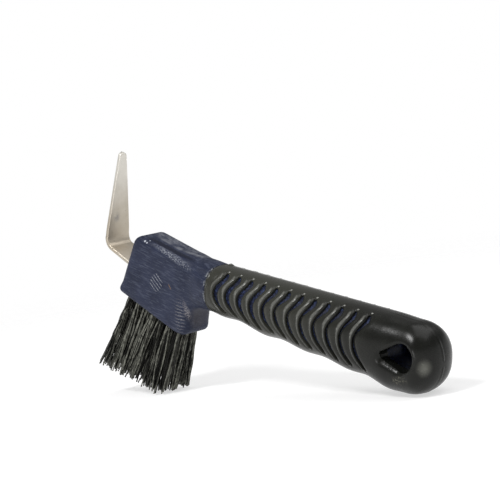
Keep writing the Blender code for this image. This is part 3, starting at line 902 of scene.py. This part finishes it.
class Surface:
    """A Principled material, with coordinates in the handle's frame in millimetres."""

    def __init__(self, name):
        self.material = bpy.data.materials.new(name)
        self.material.use_nodes = True
        self.tree = self.material.node_tree
        self.shader = self.tree.nodes["Principled BSDF"]
        place = self.node("ShaderNodeTexCoord").outputs["Object"]
        back = Matrix.Rotation(-REST_TILT, 3, "Y")
        mapping = self.node(
            "ShaderNodeMapping", {"Vector": place, "Location": -(back @ REST_SHIFT),
                                  "Rotation": (0, -REST_TILT, 0), "Scale": (1000, 1000, 1000)},
        )
        self.place = mapping.outputs["Vector"]

    def node(self, kind, inputs=None, **settings):
        made = self.tree.nodes.new(kind)
        for key, value in settings.items():
            setattr(made, key, value)
        for key, value in (inputs or {}).items():
            if isinstance(value, bpy.types.NodeSocket):
                self.tree.links.new(value, made.inputs[key])
            else:
                made.inputs[key].default_value = value
        return made

    def stored(self, name):
        """A value that the mesh keeps at each of its points."""
        return self.node("ShaderNodeAttribute", attribute_name=name).outputs["Fac"]

    def along(self):
        """The distance along the handle from its collar."""
        return self.node("ShaderNodeSeparateXYZ", {"Vector": self.place}).outputs["X"]

    def noise(self, scale, detail=2.0, roughness=0.5, place=None):
        inputs = {
            "Vector": place or self.place, "Scale": scale, "Detail": detail, "Roughness": roughness,
        }
        return self.node("ShaderNodeTexNoise", inputs).outputs["Fac"]

    def stretched(self, turn, scale):
        """Coordinates turned and then scaled."""
        turned = self.node("ShaderNodeMapping", {"Vector": self.place, "Rotation": turn})
        scaled = self.node(
            "ShaderNodeMapping", {"Vector": turned.outputs["Vector"], "Scale": scale}
        )
        return scaled.outputs["Vector"]

    def ramp(self, value, low, high, start=0.0, stop=1.0):
        inputs = {"Value": value, "From Min": low, "From Max": high, "To Min": start, "To Max": stop}
        made = self.node("ShaderNodeMapRange", inputs, interpolation_type="SMOOTHSTEP")
        return made.outputs["Result"]

    def math(self, operation, first, second):
        made = self.node("ShaderNodeMath", operation=operation)
        for socket, value in zip(made.inputs, (first, second)):
            if isinstance(value, bpy.types.NodeSocket):
                self.tree.links.new(value, socket)
            else:
                socket.default_value = value
        return made.outputs["Value"]

    def near(self, point, inner, outer):
        """1 within this distance of a point of the handle's frame, falling to 0 further out."""
        made = self.node("ShaderNodeVectorMath", {0: self.place, 1: point}, operation="DISTANCE")
        return self.ramp(made.outputs["Value"], inner, outer, 1.0, 0.0)

    def patch(self, point, size, turn=0.0, core=0.4):
        """1 in the middle of an oval patch of this size, turned about Y, falling to 0 at its edge."""
        inputs = {"Vector": self.place, "Location": point, "Rotation": (0, math.radians(turn), 0),
                  "Scale": size}
        local = self.node("ShaderNodeMapping", inputs, vector_type="TEXTURE")
        away = self.node("ShaderNodeVectorMath", {0: local.outputs["Vector"]}, operation="LENGTH")
        return self.ramp(away.outputs["Value"], core, 1.0, 1.0, 0.0)

    def both(self, first, second):
        return self.math("MULTIPLY", first, second)

    def either(self, *masks):
        total = masks[0]
        for mask in masks[1:]:
            total = self.math("MAXIMUM", total, mask)
        return total

    def over(self, colour, tone, *masks):
        """The colour with this tone laid over it where all of the masks meet."""
        total = masks[0]
        for mask in masks[1:]:
            total = self.both(total, mask)
        return self.blend(total, colour, tone)

    def blend(self, factor, first, second):
        made = self.node("ShaderNodeMix", data_type="RGBA")
        sockets = (made.inputs[0], made.inputs[6], made.inputs[7])
        for socket, value in zip(sockets, (factor, first, second)):
            if isinstance(value, bpy.types.NodeSocket):
                self.tree.links.new(value, socket)
            elif isinstance(value, tuple):
                socket.default_value = (*value, 1.0)
            else:
                socket.default_value = value
        return made.outputs[2]

    def bump(self, height, distance_mm, strength=1.0, under=None):
        inputs = {"Height": height, "Distance": distance_mm * MM, "Strength": strength}
        if under:
            inputs["Normal"] = under
        return self.node("ShaderNodeBump", inputs).outputs["Normal"]

    def finish(self, **sockets):
        for name, value in sockets.items():
            socket = self.shader.inputs[name.replace("_", " ")]
            if isinstance(value, bpy.types.NodeSocket):
                self.tree.links.new(value, socket)
            else:
                socket.default_value = value
        return self.material


def navy_plastic():
    surface = Surface("navy_plastic")
    broad = surface.ramp(surface.noise(0.09, 3.0), 0.35, 0.65)
    colour = surface.blend(broad, (0.008, 0.0115, 0.0285), (0.0145, 0.019, 0.042))
    drag_lines = surface.stretched((0, math.radians(-8), 0), (0.22, 0.6, 2.4))
    drag = surface.noise(1.0, 3.0, 0.65, drag_lines)
    colour = surface.over(colour, (0.065, 0.075, 0.11), surface.ramp(drag, 0.48, 0.7), 0.55)
    # Painted light: the top face of the head painted paler than its sides, streaked along the drag
    # lines.
    lit_top_face = surface.patch((-27.0, 2.6, 12.4), (23.0, 4.6, 1.9), 11.3, 0.7)
    colour = surface.over(colour, (0.125, 0.13, 0.15), lit_top_face, surface.ramp(drag, 0.3, 0.75))
    # Painted shade: a near-black band painted along the rounded top edge on both sides of the head.
    rim = surface.either(
        surface.patch((-26.0, -4.4, 12.3), (19.0, 2.1, 1.9), 11.3, 0.6),
        surface.patch((-24.0, 7.4, 10.6), (19.0, 1.6, 1.7), 11.3, 0.6),
    )
    colour = surface.over(colour, (0.002, 0.004, 0.015), rim, 0.95)
    fine = surface.noise(2.3, 4.0, 0.65)
    scuffed = surface.either(*(
        surface.patch((-22.0, y, 9.9), (17.5, 1.9, 2.0), 17.0, 0.4) for y in (-7.0, 7.0)
    ))
    colour = surface.over(colour, (0.20, 0.21, 0.24), scuffed, surface.ramp(fine, 0.49, 0.6))
    marks = surface.node(
        "ShaderNodeTexWave", {"Vector": surface.place, "Scale": 0.22, "Distortion": 2.5, "Detail": 3.0,
                              "Detail Scale": 2.0}, bands_direction="Z",
    ).outputs["Fac"]
    cornered = surface.patch((-16.8, -7.8, -15.0), (3.6, 3.0, 10.5), 0.0, 0.3)
    marked = surface.both(surface.ramp(marks, 0.55, 0.8), surface.ramp(fine, 0.4, 0.6))
    colour = surface.over(colour, (0.14, 0.14, 0.155), cornered, marked)
    edge = surface.patch((-12.6, -7.0, -14.0), (1.9, 2.4, 9.5), -17.0, 0.3)
    colour = surface.over(colour, (0.19, 0.18, 0.19), edge, surface.ramp(fine, 0.42, 0.62))
    rear = surface.patch((-11.0, 0.0, -16.0), (3.2, 9.0, 9.0), 0.0, 0.5)
    colour = surface.over(colour, (0.07, 0.063, 0.066), rear, surface.ramp(fine, 0.35, 0.65, 0.2, 0.6))
    collar = surface.patch((-0.1, -9.0, 3.0), (0.5, 9.0, 9.0), 0.0, 0.8)
    flash = surface.ramp(surface.noise(1.3, 2.0), 0.46, 0.54)
    colour = surface.over(colour, (0.24, 0.25, 0.27), collar, flash, 0.7)
    glints = surface.either(*(surface.near(point, inner, outer) for point, inner, outer in (
        ((-39.4, -7.2, 13.4), 0.3, 0.6), ((-38.0, -7.3, 13.0), 0.2, 0.5),
        ((-37.3, -6.2, 13.9), 0.15, 0.4), ((-24.5, 3.2, 12.1), 0.2, 0.5),
        ((-23.3, 2.2, 11.8), 0.1, 0.4), ((-22.4, 3.6, 11.8), 0.2, 0.45),
    )))
    colour = surface.over(colour, (0.45, 0.47, 0.52), glints, 0.8)
    scratch = surface.patch((-23.0, -7.8, -3.4), (1.7, 2.0, 0.3), 50.0, 0.5)
    colour = surface.over(colour, (0.17, 0.10, 0.05), scratch, 0.75)
    dots = surface.ramp(surface.noise(1.9, 2.0, 0.5), 0.70, 0.76)
    colour = surface.over(colour, (0.16, 0.17, 0.20), dots, 0.5)
    flecks = surface.ramp(surface.noise(1.1, 5.0, 0.75), 0.5, 0.62)
    deep = surface.blend(flecks, (0.002, 0.0035, 0.014), (0.02, 0.032, 0.085))
    sheltered = surface.ramp(surface.along(), 1.0, 3.0)
    colour = surface.over(colour, deep, sheltered)
    normal = surface.bump(drag, 0.12, 0.7)
    normal = surface.bump(surface.noise(3.4, 3.0, 0.6), 0.06, 0.7, normal)
    rough = surface.ramp(fine, 0.3, 0.7, 0.42, 0.58)
    return surface.finish(Base_Color=colour, Roughness=rough, Normal=normal, Specular_IOR_Level=0.2)


def worn_navy():
    """The same plastic where it stands proud and is rubbed pale."""
    surface = Surface("worn_navy")
    pale_mix = surface.ramp(surface.noise(1.4, 4.0, 0.6), 0.4, 0.62)
    colour = surface.blend(pale_mix, (0.06, 0.068, 0.095), (0.23, 0.24, 0.26))
    normal = surface.bump(surface.noise(4.0, 3.0), 0.04, 0.5)
    rough = surface.ramp(pale_mix, 0.0, 1.0, 0.4, 0.55)
    return surface.finish(Base_Color=colour, Roughness=rough, Normal=normal)


def black_rubber():
    surface = Surface("black_rubber")
    broad = surface.noise(0.12, 4.0)
    tone = surface.ramp(broad, 0.3, 0.7)
    colour = surface.blend(tone, (0.002, 0.0022, 0.0018), (0.005, 0.0053, 0.0044))
    # Painted sheen: the grip painted paler from the collar back, fading out towards the butt.
    front_sheen = surface.ramp(surface.along(), 30.0, 104.0, 1.0, 0.1)
    colour = surface.over(colour, (0.027, 0.0274, 0.0222), front_sheen)
    bloom = surface.ramp(surface.noise(1.3, 6.0, 0.7), 0.5, 0.8)
    colour = surface.over(colour, (0.10, 0.10, 0.088), bloom, 0.04)
    # Painted highlight: the lip crests, where the grip stands proud, painted pale and broken up by the
    # bloom.
    proud = surface.ramp(surface.stored("proud"), 0.2, 1.0)
    crest_highlight = surface.ramp(bloom, 0.0, 0.4, 0.45, 0.9)
    colour = surface.over(colour, (0.17, 0.171, 0.157), proud, crest_highlight)
    dusty = surface.patch((106.0, -11.5, -12.2), (5.0, 4.0, 2.6), -20.0, 0.1)
    dust = surface.ramp(surface.noise(1.1, 4.0, 0.7), 0.5, 0.66)
    colour = surface.over(colour, (0.22, 0.21, 0.16), dusty, dust, 0.8)
    # Painted highlight: a pale round patch on the rounded side of the butt, broken up by the bloom.
    butt_highlight = surface.patch((115.6, -8.3, -5.6), (3.6, 4.0, 4.4), 0.0, 0.0)
    highlight_breakup = surface.ramp(bloom, 0.0, 0.6, 0.6, 1.0)
    colour = surface.over(colour, (0.17, 0.171, 0.15), butt_highlight, highlight_breakup)
    normal = surface.bump(surface.noise(0.35, 2.0), 0.15, 0.3)
    normal = surface.bump(surface.noise(4.0, 3.0, 0.6), 0.02, 0.5, normal)
    rough = surface.ramp(broad, 0.2, 0.8, 0.23, 0.3)
    return surface.finish(Base_Color=colour, Roughness=rough, Normal=normal, IOR=1.29)


def stud_highlight_rubber():
    """The same rubber painted pale for the studs: a painted highlight on each stud."""
    surface = Surface("stud_highlight_rubber")
    pale_mix = surface.noise(1.2, 3.0)
    colour = surface.blend(pale_mix, (0.12, 0.121, 0.11), (0.30, 0.301, 0.28))
    normal = surface.bump(surface.noise(4.0, 3.0), 0.02, 0.4)
    rough = surface.ramp(pale_mix, 0.3, 0.7, 0.18, 0.28)
    return surface.finish(Base_Color=colour, Roughness=rough, Normal=normal)


def satin_steel():
    surface = Surface("satin_steel")
    broad = surface.ramp(surface.noise(0.14, 4.0, 0.6), 0.3, 0.7)
    colour = surface.blend(broad, (0.49, 0.457, 0.40), (0.60, 0.57, 0.515))
    # Painted reflection: the steel painted brighter towards the tip.
    high = surface.near((BLADE_TIP.x, 0.0, BLADE_TIP.y), 3.0, 24.0)
    colour = surface.over(colour, (0.74, 0.72, 0.67), high, 0.6)
    # Painted shade, with a brownish tarnish: the steel painted darker and browner towards the bend.
    low = surface.near((BLADE_BEND.x, 0.0, BLADE_BEND.y), 4.0, 32.0)
    colour = surface.over(colour, (0.40, 0.343, 0.265), low, 0.75)
    tan = surface.patch((-61.0, -1.0, 3.6), (3.6, 9.0, 2.6), 30.0, 0.2)
    stain = surface.ramp(surface.noise(0.35, 4.0), 0.35, 0.6)
    colour = surface.over(colour, (0.36, 0.27, 0.17), tan, stain)
    smudge = surface.patch((-64.3, -1.7, 18.9), (3.0, 2.6, 3.4), 0.0, 0.1)
    grime = surface.ramp(surface.noise(0.6, 5.0, 0.7), 0.4, 0.6)
    colour = surface.over(colour, (0.24, 0.23, 0.22), smudge, grime, 0.75)
    rust = surface.ramp(surface.noise(1.2, 3.0, 0.6), 0.68, 0.74)
    colour = surface.over(colour, (0.19, 0.13, 0.08), rust, surface.ramp(low, 0.1, 0.6))
    brush_lines = surface.stretched((0, math.radians(6), 0), (6.0, 6.0, 0.25))
    mottle = surface.noise(1.6, 3.0, 0.6)
    normal = surface.bump(surface.noise(1.0, 2.0, 0.5, brush_lines), 0.02, 0.5)
    normal = surface.bump(mottle, 0.03, 0.4, normal)
    rough = surface.ramp(mottle, 0.2, 0.8, 0.36, 0.5)
    return surface.finish(Base_Color=colour, Metallic=0.85, Roughness=rough, Normal=normal)


def black_bristle():
    surface = Surface("black_bristle")
    # Painted highlight: a random share of the filaments painted pale as lit strands, the rest near
    # black.
    strand_highlight = surface.ramp(surface.stored("strand_highlight"), 0.2, 0.8)
    colour = surface.blend(strand_highlight, (0.0015, 0.0015, 0.001), (0.16, 0.161, 0.137))
    mottle = surface.noise(0.5, 3.0)
    colour = surface.over(colour, (0.006, 0.006, 0.005), surface.ramp(mottle, 0.4, 0.6, 0.6, 0.0))
    rough = surface.ramp(mottle, 0.3, 0.7, 0.24, 0.36)
    normal = surface.bump(surface.noise(1.5, 2.0), 0.03, 0.3)
    return surface.finish(Base_Color=colour, Roughness=rough, Normal=normal, IOR=1.2)


def anchor_wire():
    surface = Surface("anchor_wire")
    broad = surface.noise(1.1, 3.0)
    colour = surface.blend(broad, (0.55, 0.53, 0.48), (0.7, 0.68, 0.62))
    normal = surface.bump(surface.noise(6.0, 2.0), 0.02, 0.4)
    return surface.finish(Base_Color=colour, Metallic=1.0, Roughness=0.35, Normal=normal)


# ---------------------------------------------------------------------------------------------
# Floor, light and camera
# ---------------------------------------------------------------------------------------------

def pale_floor():
    """White paper under the pick, which fades into the white of the studio round it."""
    surface = Surface("white_paper")
    tone = surface.blend(surface.noise(0.01, 2.0), (0.44, 0.44, 0.44), (0.47, 0.47, 0.47))
    from_middle = surface.node("ShaderNodeVectorMath", {0: surface.place}, operation="LENGTH")
    shown = surface.ramp(from_middle.outputs["Value"], 260.0, 640.0, 1.0, 0.0)
    material = surface.finish(
        Base_Color=tone, Roughness=0.8, Alpha=shown, Emission_Color=(1, 1, 1, 1),
        Emission_Strength=0.56,
    )
    builder = bmesh.new()
    bmesh.ops.create_circle(builder, cap_ends=True, segments=96, radius=0.75)
    mesh = bpy.data.meshes.new("floor")
    builder.to_mesh(mesh)
    builder.free()
    mesh.materials.append(material)
    floor = add_to_scene("floor", mesh)


def area_light(name, at, aim, size, power):
    """A rectangular soft box of this width and height, facing its aim."""
    lamp = bpy.data.lights.new(name, "AREA")
    lamp.shape = "RECTANGLE"
    lamp.size, lamp.size_y = size
    lamp.energy = power
    light = add_to_scene(name, lamp)
    light.location = at
    light.rotation_euler = (Vector(aim) - Vector(at)).to_track_quat("-Z", "Y").to_euler()


def studio():
    """A studio with white walls and a dim ceiling, and three soft boxes."""
    world = bpy.data.worlds.new("studio")
    world.use_nodes = True
    nodes, links = world.node_tree.nodes, world.node_tree.links
    direction = nodes.new("ShaderNodeTexCoord").outputs["Generated"]
    split = nodes.new("ShaderNodeSeparateXYZ")
    links.new(direction, split.inputs["Vector"])
    strength = nodes.new("ShaderNodeMapRange")
    for name, value in (("From Min", 0.12), ("From Max", 0.3), ("To Min", 1.0), ("To Max", 0.3)):
        strength.inputs[name].default_value = value
    links.new(split.outputs["Z"], strength.inputs["Value"])
    nodes["Background"].inputs["Color"].default_value = (1, 1, 1, 1)
    links.new(strength.outputs["Result"], nodes["Background"].inputs["Strength"])
    bpy.context.scene.world = world
    area_light("main_box", (-0.08, -0.58, 0.85), (0, 0, 0.03), (0.24, 0.24), 7.5)
    area_light("top_box", (0.35, 0.3, 0.95), (0, 0, 0), (1.0, 1.0), 6.0)
    area_light("front_box", (0.15, -0.95, 0.12), (0.03, 0, 0.03), (0.14, 0.14), 1.6)
    bpy.context.scene.view_settings.view_transform = "Standard"


def camera():
    lens = bpy.data.cameras.new("camera")
    lens.lens = 113.78
    lens.sensor_width = 36.0
    lens.clip_start = 0.01
    eye = add_to_scene("camera", lens)
    right = Vector((0.691618, 0.705073, -0.156643))
    up = Vector((0.056363, 0.163529, 0.984927))
    back = right.cross(up)
    eye.matrix_world = Matrix.Translation((0.466985, -0.444407, 0.106323)) @ Matrix(
        (right, up, back)
    ).transposed().to_4x4()
    bpy.context.scene.camera = eye


def main():
    camera()
    studio()
    pale_floor()
    plastic, rubber = navy_plastic(), black_rubber()
    moulded_core(plastic)
    witness_lines(worn_navy())
    soft_grip(rubber)
    grip_studs(stud_highlight_rubber())
    steel_pick(satin_steel())
    bristle = black_bristle()
    draw = random.Random(7)
    for name, length, tuft_frame in tuft_frames():
        bristle_tuft(name, length, tuft_frame, bristle, draw)
    wire = anchor_wire()
    for name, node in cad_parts.items():
        if name.startswith("anchor_"):
            node.data.materials.clear()
            node.data.materials.append(wire)


main()
